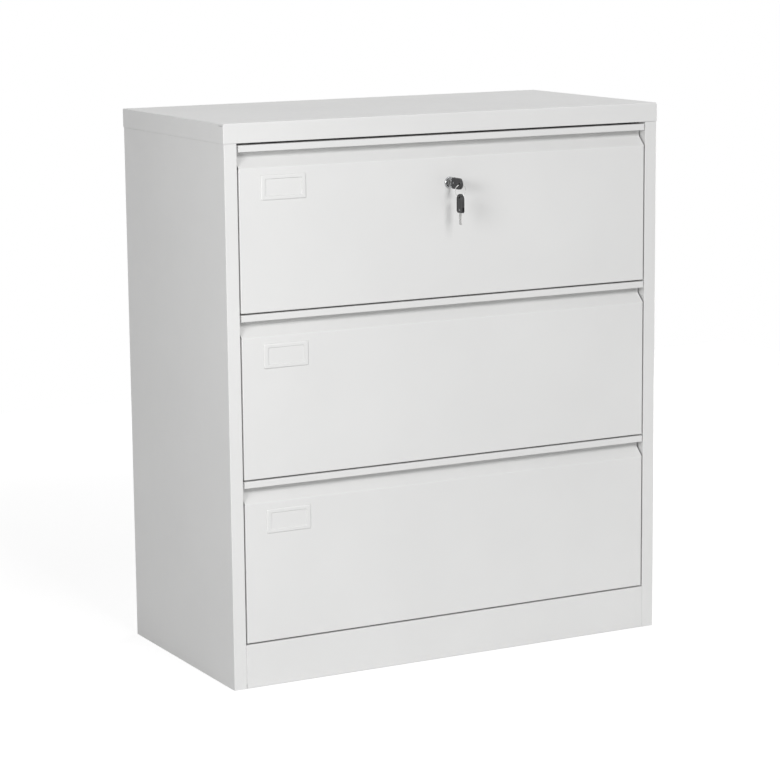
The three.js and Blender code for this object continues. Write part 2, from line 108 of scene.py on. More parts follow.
def seen_directly(tree):
    path = tree.nodes.new("ShaderNodeLightPath")
    seen = path.outputs["Is Camera Ray"]
    for ray in ("Is Glossy Ray", "Is Transmission Ray"):
        either = tree.nodes.new("ShaderNodeMath")
        either.operation = "MAXIMUM"
        tree.links.new(seen, either.inputs[0])
        tree.links.new(path.outputs[ray], either.inputs[1])
        seen = either.outputs[0]
    return seen


def light_and_show(tree, output, lighting, shown):
    choice = tree.nodes.new("ShaderNodeMixShader")
    share, unseen, seen = choice.inputs
    tree.links.new(seen_directly(tree), share)
    tree.links.new(lighting.outputs[0], unseen)
    tree.links.new(shown.outputs[0], seen)
    tree.links.new(choice.outputs[0], tree.nodes[output].inputs["Surface"])


def white_sky():
    sky = bpy.data.worlds.new("white_sky")
    sky.use_nodes = True
    tree = sky.node_tree
    lighting = tree.nodes["Background"]
    lighting.inputs["Color"].default_value = WHITE
    lighting.inputs["Strength"].default_value = SKY_STRENGTH
    shown = tree.nodes.new("ShaderNodeBackground")
    shown.inputs["Color"].default_value = WHITE
    light_and_show(tree, "World Output", lighting, shown)
    return sky


def object_place(tree):
    return tree.nodes.new("ShaderNodeTexCoord").outputs["Object"]


def mapped(tree, amount, start, end, low, high):
    ramp = tree.nodes.new("ShaderNodeMapRange")
    ramp.inputs["From Min"].default_value = start
    ramp.inputs["From Max"].default_value = end
    ramp.inputs["To Min"].default_value = low
    ramp.inputs["To Max"].default_value = high
    tree.links.new(amount, ramp.inputs["Value"])
    return ramp.outputs["Result"]


def matt_grey(tree, share):
    matt = tree.nodes.new("ShaderNodeBsdfDiffuse")
    matt.inputs["Color"].default_value = (share, share, share, 1)
    return matt


def white_floor():
    paint = bpy.data.materials.new("white_floor")
    paint.use_nodes = True
    tree = paint.node_tree
    tree.nodes.remove(tree.nodes["Principled BSDF"])
    distance = tree.nodes.new("ShaderNodeVectorMath")
    distance.operation = "LENGTH"
    tree.links.new(object_place(tree), distance.inputs[0])
    reach = distance.outputs["Value"]
    fade = mapped(tree, reach, FLOOR_NEAR, FLOOR_FAR, FLOOR_GLOW_NEAR, FLOOR_GLOW_FAR)
    glow = tree.nodes.new("ShaderNodeEmission")
    tree.links.new(fade, glow.inputs["Strength"])
    shown = tree.nodes.new("ShaderNodeAddShader")
    tree.links.new(matt_grey(tree, FLOOR_SHADOW_SHARE).outputs[0], shown.inputs[0])
    tree.links.new(glow.outputs[0], shown.inputs[1])
    light_and_show(tree, "Material Output", matt_grey(tree, FLOOR_BOUNCE), shown)
    return paint


scene.world = white_sky()
floor_corners = [(x * FLOOR_HALF, y * FLOOR_HALF, 0) for x, y in ((-1, -1), (1, -1), (1, 1), (-1, 1))]
floor_mesh = bpy.data.meshes.new("floor")
floor_mesh.from_pydata(floor_corners, [], [(0, 1, 2, 3)])
floor_mesh.materials.append(white_floor())
in_scene("floor", floor_mesh)

# Base panel: the plinth face, the deck over it and the rear skirt, folded from one sheet of 0.8 mm steel,
# with a foot flange turned in along the front and the back. Like all the sheets it is powder coated light
# grey.
MM = 0.001
SHEET = 0.8 * MM
BEND = 1.2 * MM
BEND_STEPS = 6
EDGE_ROUND = 0.14 * MM
EDGE_SEGMENTS = 2
SHARP_EDGE = math.radians(50)
FOOT_FLANGE = 25 * MM
NOISE_RANGE = (0.3, 0.7)
COAT_LIGHT = (0.782, 0.782, 0.776, 1)
COAT_DARK = (0.752, 0.752, 0.747, 1)
COAT_ROUGHNESS = (0.40, 0.50)
PEEL_DEPTH = 0.03 * MM


def new_finish(name, metallic):
    finish = bpy.data.materials.new(name)
    finish.use_nodes = True
    finish.node_tree.nodes["Principled BSDF"].inputs["Metallic"].default_value = metallic
    return finish, finish.node_tree


def noise(tree, per_metre, detail=2.0, stretch=(1, 1, 1)):
    turn = tree.nodes.new("ShaderNodeMapping")
    turn.inputs["Scale"].default_value = stretch
    pattern = tree.nodes.new("ShaderNodeTexNoise")
    pattern.inputs["Scale"].default_value = per_metre
    pattern.inputs["Detail"].default_value = detail
    tree.links.new(object_place(tree), turn.inputs["Vector"])
    tree.links.new(turn.outputs["Vector"], pattern.inputs["Vector"])
    return pattern.outputs["Fac"]


def between(tree, pattern, low, high):
    return mapped(tree, pattern, *NOISE_RANGE, low, high)


def blend_colours(tree, amount, dark, light):
    mix = tree.nodes.new("ShaderNodeMix")
    mix.data_type = "RGBA"
    sockets = {socket.identifier: socket for socket in mix.inputs}
    sockets["A_Color"].default_value = dark
    sockets["B_Color"].default_value = light
    tree.links.new(amount, sockets["Factor_Float"])
    return next(socket for socket in mix.outputs if socket.identifier == "Result_Color")


def relief(tree, height, depth, strength):
    bump = tree.nodes.new("ShaderNodeBump")
    bump.inputs["Distance"].default_value = depth
    bump.inputs["Strength"].default_value = strength
    tree.links.new(height, bump.inputs["Height"])
    return bump.outputs["Normal"]


def dress(tree, colour, roughness, normal):
    shader = tree.nodes["Principled BSDF"]
    tree.links.new(colour, shader.inputs["Base Color"])
    tree.links.new(roughness, shader.inputs["Roughness"])
    tree.links.new(normal, shader.inputs["Normal"])


def powder_coat():
    finish, tree = new_finish("powder_coat", metallic=0.0)
    cloud = between(tree, noise(tree, per_metre=4, detail=3), 0, 1)
    peel = noise(tree, per_metre=620, detail=1)
    dress(
        tree,
        colour=blend_colours(tree, cloud, COAT_DARK, COAT_LIGHT),
        roughness=between(tree, noise(tree, per_metre=90), *COAT_ROUGHNESS),
        normal=relief(tree, peel, PEEL_DEPTH, strength=0.35),
    )
    return finish


coat = powder_coat()


def new_tree(name, inputs):
    tree = bpy.data.node_groups.new(name, "GeometryNodeTree")
    for label, kind in (("Geometry", "NodeSocketGeometry"), *inputs, ("Finish", "NodeSocketMaterial")):
        tree.interface.new_socket(label, in_out="INPUT", socket_type=kind)
    tree.interface.new_socket("Geometry", in_out="OUTPUT", socket_type="NodeSocketGeometry")
    return tree, tree.nodes.new("NodeGroupInput")


def end_tree(tree, given, start, *steps):
    whole = tree.nodes.new("GeometryNodeRealizeInstances")
    coated = tree.nodes.new("GeometryNodeSetMaterial")
    tree.links.new(given.outputs["Finish"], coated.inputs["Material"])
    for step in (*steps, whole, coated):
        way_in = next(s for s in step.inputs if s.type == "GEOMETRY" and not s.is_linked)
        tree.links.new(start, way_in)
        start = next(s for s in step.outputs if s.type == "GEOMETRY")
    tree.links.new(start, tree.nodes.new("NodeGroupOutput").inputs["Geometry"])
    return tree


def folding_tree():
    tree, given = new_tree("folded_sheet", (
        ("Run", "NodeSocketVector"),
        ("Bend radius", "NodeSocketFloat"),
        ("Bend steps", "NodeSocketInt"),
    ))
    section = tree.nodes.new("GeometryNodeMeshToCurve")
    bends = tree.nodes.new("GeometryNodeFilletCurve")
    bends.mode = "POLY"
    bends.inputs["Limit Radius"].default_value = True
    line = tree.nodes.new("GeometryNodeCurveToMesh")
    pull = tree.nodes.new("GeometryNodeExtrudeMesh")
    pull.mode = "EDGES"
    smooth = tree.nodes.new("GeometryNodeSetShadeSmooth")
    tree.links.new(given.outputs["Run"], pull.inputs["Offset"])
    tree.links.new(given.outputs["Bend radius"], bends.inputs["Radius"])
    tree.links.new(given.outputs["Bend steps"], bends.inputs["Count"])
    return end_tree(tree, given, given.outputs["Geometry"], section, bends, line, pull, smooth)


folding = folding_tree()


def grow(blank, tree, values):
    modifier = blank.modifiers.new(tree.name, "NODES")
    modifier.node_group = tree
    for item in tree.interface.items_tree:
        if item.in_out == "INPUT" and item.name in values:
            modifier[item.identifier] = values[item.name]


def as_plain_mesh(blank, name):
    evaluated = blank.evaluated_get(bpy.context.evaluated_depsgraph_get())
    mesh = bpy.data.meshes.new_from_object(evaluated)
    bpy.data.objects.remove(blank)
    mesh.name = name
    return in_scene(name, mesh)


def give_wall(blank, gauge):
    wall = blank.modifiers.new("wall", "SOLIDIFY")
    wall.thickness = gauge
    wall.offset = 0
    wall.use_even_offset = True


def cut_and_eased(blank, name, cutters=(), rounding=EDGE_ROUND):
    for cutter in cutters:
        cut = blank.modifiers.new("cut", "BOOLEAN")
        cut.operation = "DIFFERENCE"
        cut.solver = "EXACT"
        cut.object = cutter
    edge = blank.modifiers.new("edge", "BEVEL")
    edge.width = rounding
    edge.segments = EDGE_SEGMENTS
    edge.limit_method = "ANGLE"
    edge.angle_limit = SHARP_EDGE
    blank.modifiers.new("normals", "WEIGHTED_NORMAL")
    piece = as_plain_mesh(blank, name)
    for cutter in cutters:
        bpy.data.objects.remove(cutter)
    return piece


def folded(name, section, run, gauge, finish, bend=BEND, cutters=()):
    line = bpy.data.meshes.new(name)
    line.from_pydata(section, [(i, i + 1) for i in range(len(section) - 1)], [])
    blank = in_scene(name, line)
    grow(blank, folding, {"Run": run, "Bend radius": bend, "Bend steps": BEND_STEPS, "Finish": finish})
    give_wall(blank, gauge)
    return cut_and_eased(blank, name, cutters)


def belongs(piece, body, slot, *nodes):
    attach(piece, body)
    if nodes:
        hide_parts(*nodes)


def across(points, x):
    return [(x, y, z) for y, z in points]


half = SHEET / 2
low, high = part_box("base_panel")
front, rear = low.y + half, high.y - half
bottom, deck = low.z + half, high.z - half
plinth_section = [
    (front + FOOT_FLANGE, bottom),
    (front, bottom),
    (front, deck),
    (rear, deck),
    (rear, bottom),
    (rear - FOOT_FLANGE, bottom),
]
plinth = folded("base", across(plinth_section, low.x), (high.x - low.x, 0, 0), SHEET, coat)
belongs(plinth, "cabinet", "paint", "base_panel")

# Side panels: each folded from one 0.8 mm sheet, with the front stile, the stile's return along the drawers
# and a rear flange that the back is riveted to. A fine groove marks where the cap comes down to, and a
# notch near the front corner lies behind the cap's relief slit.
STILE_RETURN = 24 * MM
REAR_FLANGE = 20 * MM
SEAM_HEIGHT = 0.7 * MM
SEAM_DEPTH = 0.6 * MM
RELIEF_DROP = 4.1 * MM
RELIEF_HEIGHT = 0.6 * MM
RELIEF_START = 2.6 * MM
RELIEF_LENGTH = 19 * MM
NOTCH_MARGIN = 2 * MM
SIDES = (("left", -1), ("right", 1))


def outside_and_inside(low, high, side):
    return (low.x, high.x) if side < 0 else (high.x, low.x)


def box_mesh(corner, opposite):
    low = Vector(map(min, corner, opposite))
    high = Vector(map(max, corner, opposite))
    size = high - low
    middle = (high + low) / 2
    mesh = bmesh.new()
    bmesh.ops.create_cube(mesh, size=1)
    for vert in mesh.verts:
        vert.co = Vector(v * s + m for v, s, m in zip(vert.co, size, middle))
    return mesh


def mesh_in_scene(name, mesh, *finishes):
    data = bpy.data.meshes.new(name)
    mesh.to_mesh(data)
    mesh.free()
    for finish in finishes:
        data.materials.append(finish)
    return in_scene(name, data)


def box_cutter(name, corner, opposite):
    return mesh_in_scene(name, box_mesh(corner, opposite))


cap_low, cap_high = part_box("top_panel")
seam_top = cap_low.z
seam_bottom = seam_top - SEAM_HEIGHT
relief_low = Vector((0, cap_low.y + RELIEF_START, cap_high.z - RELIEF_DROP - RELIEF_HEIGHT))
relief_high = relief_low + Vector((0, RELIEF_LENGTH, RELIEF_HEIGHT))
for word, side in SIDES:
    node = f"{word}_side_panel"
    low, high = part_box(node)
    outside, inside = outside_and_inside(low, high, side)
    skin = outside - side * half
    stile_edge = inside + side * half
    plan = [
        (stile_edge, low.y + STILE_RETURN, low.z),
        (stile_edge, low.y + half, low.z),
        (skin, low.y + half, low.z),
        (skin, high.y - half, low.z),
        (outside - side * REAR_FLANGE, high.y - half, low.z),
    ]
    clear = outside + side * SHEET
    cutters = [
        box_cutter(
            "skin_seam",
            (outside - side * SEAM_DEPTH, low.y - SHEET, seam_bottom),
            (clear, high.y + SHEET, seam_top),
        ),
        box_cutter(
            "stile_seam",
            (low.x, low.y - SHEET, seam_bottom),
            (high.x, low.y + SEAM_DEPTH, seam_top),
        ),
        box_cutter(
            "flange_seam",
            (low.x, high.y - SEAM_DEPTH, seam_bottom),
            (high.x, high.y + SHEET, seam_top),
        ),
        box_cutter(
            "relief_notch",
            (outside - side * 2 * SHEET, relief_low.y + NOTCH_MARGIN, relief_low.z - NOTCH_MARGIN),
            (clear, relief_high.y + NOTCH_MARGIN, relief_high.z + NOTCH_MARGIN),
        ),
    ]
    panel = folded(f"{word}_side", plan, (0, 0, high.z - low.z), SHEET, coat, cutters=cutters)
    belongs(panel, "cabinet", "paint", node)

# Uprights: four channels of bright galvanised steel, 1.2 mm thick, spot welded inside the side panels,
# that carry the slides.
FRAME_SHEET = 1.2 * MM
SPANGLES_PER_METRE = 160
ZINC_DARK = (0.50, 0.51, 0.53, 1)
ZINC_LIGHT = (0.66, 0.67, 0.68, 1)
ZINC_ROUGHNESS = (0.26, 0.44)
ROLLING_DEPTH = 0.01 * MM


def zinc_plate():
    finish, tree = new_finish("zinc_plate", metallic=1.0)
    spangle = tree.nodes.new("ShaderNodeTexVoronoi")
    spangle.inputs["Scale"].default_value = SPANGLES_PER_METRE
    tree.links.new(object_place(tree), spangle.inputs["Vector"])
    rolled = noise(tree, per_metre=300, detail=3, stretch=(1, 0.06, 1))
    dress(
        tree,
        colour=blend_colours(tree, spangle.outputs["Color"], ZINC_DARK, ZINC_LIGHT),
        roughness=between(tree, rolled, *ZINC_ROUGHNESS),
        normal=relief(tree, rolled, ROLLING_DEPTH, strength=0.3),
    )
    return finish


zinc = zinc_plate()
half_frame = FRAME_SHEET / 2
for word, side in SIDES:
    for end in ("front", "rear"):
        node = f"{word}_{end}_upright"
        low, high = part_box(node)
        edge, inside = outside_and_inside(low, high, side)
        web = inside + side * half_frame
        plan = [
            (edge, low.y + half_frame, low.z),
            (web, low.y + half_frame, low.z),
            (web, high.y - half_frame, low.z),
            (edge, high.y - half_frame, low.z),
        ]
        channel = folded(f"{word}_{end}_channel", plan, (0, 0, high.z - low.z), FRAME_SHEET, zinc)
        belongs(channel, "cabinet", "zinc", node)

# Top front rail: a painted channel under the cap that ties the side panels together. It keeps the drawn
# shape, with the slot that the lock bolt rises into.


def finish_drawn(node, finish):
    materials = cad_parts[node].data.materials
    materials.clear()
    materials.append(finish)


finish_drawn("top_front_rail", coat)

# Back panel: a painted 0.8 mm sheet inside the side panels' rear flanges, held by a row of pop rivets down
# each flange. A shallow bead pressed round it, clear of the base's skirt, keeps it from drumming.
BEAD_INSET = 70 * MM
BEAD_WIDTH = 14 * MM
BEAD_DEPTH = 2.5 * MM
BEAD_CORNER = 40 * MM
BEAD_MARGIN = 34 * MM
BEAD_STEPS = 20
RIVET_RADIUS = 3.0 * MM
RIVET_RISE = 1.0 * MM
RIVET_COUNT = 8
RIVET_END = 70 * MM
RIVET_STEPS = 20
# Points in shares of the head's radius and of its rise.
RIVET_OUTLINE = ((1, 0), (0.86, 0.55), (0.5, 1), (0.28, 1), (0.2, 0.6), (0, 0.6))
FACING_BACK = Matrix.Rotation(-math.pi / 2, 4, "X")


def shade_smooth(mesh):
    for face in mesh.faces:
        face.smooth = True


def bead_depth(x, z, middle, half_size):
    past_x = abs(x - middle.x) - half_size.x + BEAD_CORNER
    past_z = abs(z - middle.z) - half_size.z + BEAD_CORNER
    inset = BEAD_CORNER - math.hypot(max(past_x, 0), max(past_z, 0)) - min(max(past_x, past_z), 0)
    share = min(max(inset / BEAD_WIDTH, 0), 1)
    return BEAD_DEPTH * (1 - math.cos(2 * math.pi * share)) / 2


def bead_stations(start, bead_start, bead_end, end):
    near = [bead_start + BEAD_CORNER * i / BEAD_STEPS for i in range(BEAD_STEPS + 1)]
    far = [bead_end - BEAD_CORNER * i / BEAD_STEPS for i in range(BEAD_STEPS + 1)]
    return [start, *near, *reversed(far), end]


def beaded_sheet(name, low, high, bead_low, bead_high):
    middle = (bead_low + bead_high) / 2
    half_size = (bead_high - bead_low) / 2
    sheet_y = (low.y + high.y) / 2
    columns = bead_stations(low.x, bead_low.x, bead_high.x, high.x)
    mesh = bmesh.new()
    lines = []
    for z in bead_stations(low.z, bead_low.z, bead_high.z, high.z):
        points = [(x, sheet_y - bead_depth(x, z, middle, half_size), z) for x in columns]
        lines.append([mesh.verts.new(point) for point in points])
    for one, two in zip(lines, lines[1:]):
        for i in range(len(one) - 1):
            mesh.faces.new((one[i], two[i], two[i + 1], one[i + 1]))
    shade_smooth(mesh)
    return mesh_in_scene(name, mesh, coat)


low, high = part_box("back_panel")
bead_low = Vector((low.x + BEAD_INSET, 0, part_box("base_panel")[1].z + BEAD_MARGIN))
bead_high = Vector((high.x - BEAD_INSET, 0, cap_low.z - BEAD_MARGIN))
back = beaded_sheet("back", low, high, bead_low, bead_high)
give_wall(back, SHEET)
belongs(cut_and_eased(back, "back"), "cabinet", "paint", "back_panel")


def smooth_piece(name, mesh, place, *finishes):
    bmesh.ops.recalc_face_normals(mesh, faces=mesh.faces)
    shade_smooth(mesh)
    mesh.transform(place)
    return mesh_in_scene(name, mesh, *finishes)


def turned(name, profile, steps, place, *finishes, closed=False):
    mesh = bmesh.new()
    angles = [2 * math.pi * i / steps for i in range(steps)]
    rings = []
    for radius, along in profile:
        points = [(radius * math.cos(a), radius * math.sin(a), along) for a in angles]
        if radius == 0:
            points = [(0, 0, along)]
        rings.append([mesh.verts.new(point) for point in points])
    pairs = list(zip(rings, rings[1:]))
    if closed:
        pairs.append((rings[-1], rings[0]))
    for one, two in pairs:
        for i in range(steps):
            near = one[i % len(one)], one[(i + 1) % len(one)]
            far = two[(i + 1) % len(two)], two[i % len(two)]
            mesh.faces.new(list(dict.fromkeys((*near, *far))))
    return smooth_piece(name, mesh, place, *finishes)


def row_tree():
    tree, given = new_tree("row_of_fixings", (
        ("First", "NodeSocketVector"),
        ("Step", "NodeSocketVector"),
        ("Count", "NodeSocketInt"),
    ))
    places = tree.nodes.new("GeometryNodeMeshLine")
    copies = tree.nodes.new("GeometryNodeInstanceOnPoints")
    tree.links.new(given.outputs["First"], places.inputs["Start Location"])
    tree.links.new(given.outputs["Step"], places.inputs["Offset"])
    tree.links.new(given.outputs["Count"], places.inputs["Count"])
    tree.links.new(places.outputs["Mesh"], copies.inputs["Points"])
    tree.links.new(given.outputs["Geometry"], copies.inputs["Instance"])
    return end_tree(tree, given, copies.outputs["Instances"])


rows = row_tree()


def row_of(name, fixing, first, step, count, finish, to_second_row=None):
    grow(fixing, rows, {"First": first, "Step": step, "Count": count, "Finish": finish})
    if to_second_row:
        both = {"First": (0, 0, 0), "Step": to_second_row, "Count": 2, "Finish": finish}
        grow(fixing, rows, both)
    return as_plain_mesh(fixing, name)


side_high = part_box("right_side_panel")[1]
rivet_column = side_high.x - REAR_FLANGE / 2
rivet_pitch = (high.z - 2 * RIVET_END) / (RIVET_COUNT - 1)
dome = [(RIVET_RADIUS, -SHEET)]
dome += [(RIVET_RADIUS * out, RIVET_RISE * up) for out, up in RIVET_OUTLINE]
back_rivets = row_of(
    "back_rivets", turned("back_rivet", dome, RIVET_STEPS, FACING_BACK),
    first=(-rivet_column, side_high.y, RIVET_END), step=(0, 0, rivet_pitch), count=RIVET_COUNT,
    finish=coat, to_second_row=(2 * rivet_column, 0, 0),
)
belongs(back_rivets, "cabinet", "paint")

# Cap: a shallow painted tray of 0.8 mm sheet, turned down 35 mm all round, that drops over the carcass with
# 0.3 mm to spare. A short relief slit is left in each side flange beside the front corner.
CAP_CORNER = 1.6 * MM
CAP_CORNER_STEPS = 5


def cap_tray(name, low, high):
    mesh = box_mesh(low, high)
    open_side = min(mesh.faces, key=lambda face: face.calc_center_median().z)
    mesh.faces.remove(open_side)
    folds = [edge for edge in mesh.edges if not edge.is_boundary]
    bmesh.ops.bevel(
        mesh, geom=folds, offset=CAP_CORNER, segments=CAP_CORNER_STEPS, profile=0.5, affect="EDGES"
    )
    shade_smooth(mesh)
    return mesh_in_scene(name, mesh, coat)


cap = cap_tray("cap", cap_low + Vector((half, half, 0)), cap_high - Vector((half, half, half)))
give_wall(cap, SHEET)
reliefs = []
for word, side in SIDES:
    flange = Vector((side * cap_high.x, 0, 0))
    reach = Vector((2 * SHEET, 0, 0))
    reliefs.append(box_cutter("corner_relief", relief_low + flange - reach, relief_high + flange + reach))
belongs(cut_and_eased(cap, "cap", reliefs), "cabinet", "paint", "top_panel")

# Ball slides: three nested channels a side for each drawer, roll formed in zinc-plated steel. The outer one
# is fixed to the uprights, the inner one is screwed to the drawer, and the middle one runs between them on
# two pairs of rows of steel balls held in thin cages.
DRAWERS = (1, 2, 3)
SLIDE_BEND = 1.8 * MM
BALL_RADIUS = 1.55 * MM
BALL_COUNT = 16
BALL_PITCH = 12.8 * MM
BALL_BANDS = 6
BALL_STEPS = 10
CAGE_SHEET = 0.5 * MM
CAGE_WIDTH = 5.6 * MM
CAGE_END = 4 * MM
SCREW_RADIUS = 3.6 * MM
SCREW_RISE = 2.0 * MM
SCREW_COUNT = 3
SCREW_END = 60 * MM
SCREW_STEPS = 12
# Points in shares of the head's radius and of its rise.
SCREW_OUTLINE = ((1, -0.1), (1, 0.35), (0.8, 0.85), (0.45, 1), (0.3, 0.4), (0, 0.3))
# The chrome's base colour is set darker than real chrome, a painted dark reflection, so every chrome part
# (lock, balls, rivets) reads dark between its highlights.
PAINTED_REFLECTION_DARK = (0.30, 0.305, 0.31, 1)
PAINTED_REFLECTION_LIGHT = (0.42, 0.425, 0.43, 1)
CHROME_ROUGHNESS = (0.06, 0.16)
SCUFF_DEPTH = 0.004 * MM


def chrome_with_painted_reflection():
    finish, tree = new_finish("chrome_with_painted_reflection", metallic=1.0)
    haze = between(tree, noise(tree, per_metre=350, detail=3), 0, 1)
    scuffs = noise(tree, per_metre=1600, detail=4, stretch=(1, 1, 0.12))
    dress(
        tree,
        colour=blend_colours(tree, haze, PAINTED_REFLECTION_DARK, PAINTED_REFLECTION_LIGHT),
        roughness=between(tree, scuffs, *CHROME_ROUGHNESS),
        normal=relief(tree, scuffs, SCUFF_DEPTH, strength=0.12),
    )
    return finish


chrome = chrome_with_painted_reflection()


def joined(name, pieces):
    mesh = bmesh.new()
    finishes = list(pieces[0].data.materials)
    for piece in pieces:
        mesh.from_mesh(piece.data)
        bpy.data.objects.remove(piece)
    return mesh_in_scene(name, mesh, *finishes)


def slide_member(node, side, web_outside):
    low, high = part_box(node)
    outside, inside = outside_and_inside(low, high, side)
    web, lip = outside - side * half_frame, inside
    if not web_outside:
        web, lip = inside + side * half_frame, outside
    section = [
        (lip, low.y, low.z + half_frame),
        (web, low.y, low.z + half_frame),
        (web, low.y, high.z - half_frame),
        (lip, low.y, high.z - half_frame),
    ]
    name = node.replace("slide_", "slide_channel_")
    return folded(name, section, (0, high.y - low.y, 0), FRAME_SHEET, zinc, SLIDE_BEND)


def slide_ball():
    angles = [math.pi * i / BALL_BANDS for i in range(1, BALL_BANDS)]
    bands = [(BALL_RADIUS * math.sin(a), -BALL_RADIUS * math.cos(a)) for a in angles]
    profile = [(0, -BALL_RADIUS), *bands, (0, BALL_RADIUS)]
    return turned("slide_ball", profile, BALL_STEPS, Matrix.Identity(4))


def slide_screw(side):
    profile = [(SCREW_RADIUS * out, SCREW_RISE * up) for out, up in SCREW_OUTLINE]
    outward = Matrix.Rotation(side * math.pi / 2, 4, "Y")
    return turned("slide_screw", profile, SCREW_STEPS, outward)


for number in DRAWERS:
    drawer = f"drawer_{number}"
    runner = f"{drawer}_slide_middle"
    balls = []
    cages = []
    for word, side in SIDES:
        outer, middle, inner = (f"{drawer}_{word}_slide_{part}" for part in ("outer", "middle", "inner"))
        belongs(slide_member(outer, side, web_outside=True), "cabinet", "zinc", outer)
        belongs(slide_member(middle, side, web_outside=True), runner, "zinc", middle)
        belongs(slide_member(inner, side, web_outside=False), drawer, "zinc", inner)

        outer_low, outer_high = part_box(outer)
        middle_low, middle_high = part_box(middle)
        inner_low, inner_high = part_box(inner)
        race_x = (middle_low.x + middle_high.x) / 2
        mid_z = (outer_low.z + outer_high.z) / 2
        outer_race = (outer_high.z - FRAME_SHEET + middle_high.z) / 2
        inner_race = (middle_high.z - FRAME_SHEET + inner_high.z) / 2
        run = BALL_PITCH * (BALL_COUNT - 1)
        rear_first = outer_high.y - CAGE_END - run
        front_first = outer_low.y + CAGE_END
        for race, first in ((outer_race, rear_first), (inner_race, front_first)):
            drop = 2 * (mid_z - race)
            balls.append(row_of(
                "ball_row", slide_ball(),
                first=(race_x, first, race), step=(0, BALL_PITCH, 0), count=BALL_COUNT,
                finish=chrome, to_second_row=(0, 0, drop),
            ))
            for z in (race, race + drop):
                strip = [(race_x - CAGE_WIDTH / 2, first, z), (race_x + CAGE_WIDTH / 2, first, z)]
                cages.append(folded("cage_strip", strip, (0, run, 0), CAGE_SHEET, zinc))
        screw_pitch = (inner_high.y - inner_low.y - 2 * SCREW_END) / (SCREW_COUNT - 1)
        screw_face = outside_and_inside(inner_low, inner_high, side)[1] + side * FRAME_SHEET
        screws = row_of(
            f"{drawer}_{word}_slide_screws", slide_screw(side),
            first=(screw_face, inner_low.y + SCREW_END, mid_z), step=(0, screw_pitch, 0), count=SCREW_COUNT,
            finish=zinc,
        )
        belongs(screws, drawer, "zinc")
    belongs(joined(f"{drawer}_slide_balls", balls), runner, "chrome")
    belongs(joined(f"{drawer}_slide_cages", cages), runner, "zinc")

# Drawer bodies: the floor and both sides of each drawer folded from one painted sheet, with the side tops
# turned in to carry the hanging rails, and a separate back spot welded in, its top turned forward.
BODY_FLANGE = 8 * MM
BACK_FLANGE = 8 * MM

for number in DRAWERS:
    drawer = f"drawer_{number}"
    low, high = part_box(f"{drawer}_body")
    left, right = low.x + half, high.x - half
    floor_z, top_z = low.z + half, high.z - half
    section = [
        (left + BODY_FLANGE, low.y, top_z),
        (left, low.y, top_z),
        (left, low.y, floor_z),
        (right, low.y, floor_z),
        (right, low.y, top_z),
        (right - BODY_FLANGE, low.y, top_z),
    ]
    tub = folded(f"{drawer}_tub", section, (0, high.y - low.y, 0), SHEET, coat)
    belongs(tub, drawer, "paint", f"{drawer}_body")

    low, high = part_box(f"{drawer}_back")
    section = [
        (high.y - half, low.z),
        (high.y - half, high.z - half),
        (high.y - BACK_FLANGE, high.z - half),
    ]
    rear_wall = folded(
        f"{drawer}_rear_wall", across(section, low.x), (high.x - low.x, 0, 0), SHEET, coat
    )
    belongs(rear_wall, drawer, "paint", f"{drawer}_back")

# Hanging rails: inverted channels of zinc-plated steel across each drawer, front and rear, that hanging
# files hook over. Their flat ends rest on the drawer's side flanges.
HANGER_BEARING = 7 * MM
HANGER_BEND = 1.5 * MM


def hanging_rail(name, low, high):
    legs = high.x - HANGER_BEARING
    near, far = low.y + half_frame, high.y - half_frame
    top = high.z - half_frame
    section = [(near, low.z), (near, top), (far, top), (far, low.z)]
    pieces = [folded("rail", across(section, -legs), (2 * legs, 0, 0), FRAME_SHEET, zinc, HANGER_BEND)]
    tab = [(near + HANGER_BEND, top), (far - HANGER_BEND, top)]
    for x in (low.x, legs):
        pieces.append(folded("tab", across(tab, x), (HANGER_BEARING, 0, 0), FRAME_SHEET, zinc))
    return joined(name, pieces)


for number in DRAWERS:
    drawer = f"drawer_{number}"
    for end in ("front", "rear"):
        node = f"{drawer}_{end}_hanging_rail"
        belongs(hanging_rail(f"{drawer}_{end}_hanger", *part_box(node)), drawer, "zinc", node)

# Front liners: the inner skin of each drawer front, one painted sheet with its top turned forward to meet
# the pull. The top drawer's has a slot that the lock bolt rises through.
LOCKED_DRAWER = 1
BOLT_PLAY = 0.8 * MM
BOLT_SLOT_OVERCUT = 8 * MM

for number in DRAWERS:
    drawer = f"drawer_{number}"
    low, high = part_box(f"{drawer}_front_liner")
    section = [
        (low.y, high.z - half),
        (high.y - half, high.z - half),
        (high.y - half, low.z),
    ]
    cutters = []
    if number == LOCKED_DRAWER:
        bolt_low, bolt_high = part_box("lock_bolt")
        play = Vector((BOLT_PLAY, BOLT_PLAY, 0))
        lift = Vector((0, 0, high.z - bolt_high.z + BOLT_SLOT_OVERCUT))
        cutters.append(box_cutter("bolt_slot", bolt_low - play, bolt_high + play + lift))
    skin = folded(
        f"{drawer}_inner_skin", across(section, low.x), (high.x - low.x, 0, 0), SHEET, coat, cutters=cutters
    )
    belongs(skin, drawer, "paint", f"{drawer}_front_liner")

# Drawer fronts: one 0.8 mm sheet each. The face turns back along its bottom and sides, and its top is
# folded in along a slope, up and forward again to a hemmed lip, which makes a pull across the whole width.
PULL_LIP = 12 * MM
PULL_DEPTH = 18.5 * MM
PULL_WALL_DROP = 23.5 * MM
PULL_SLOPE_DROP = 41 * MM
HEM_GAP = 1.0 * MM
HEM_RISE = 7 * MM
SLOPE_BEND = 2 * MM
WALL_BEND = 6 * MM
BEND_SHARE_OF_FLAT = 0.49
LOCK_HOLE = 19 * MM
LOCK_HOLE_OVERCUT = 4 * MM
HOLE_STEPS = 32


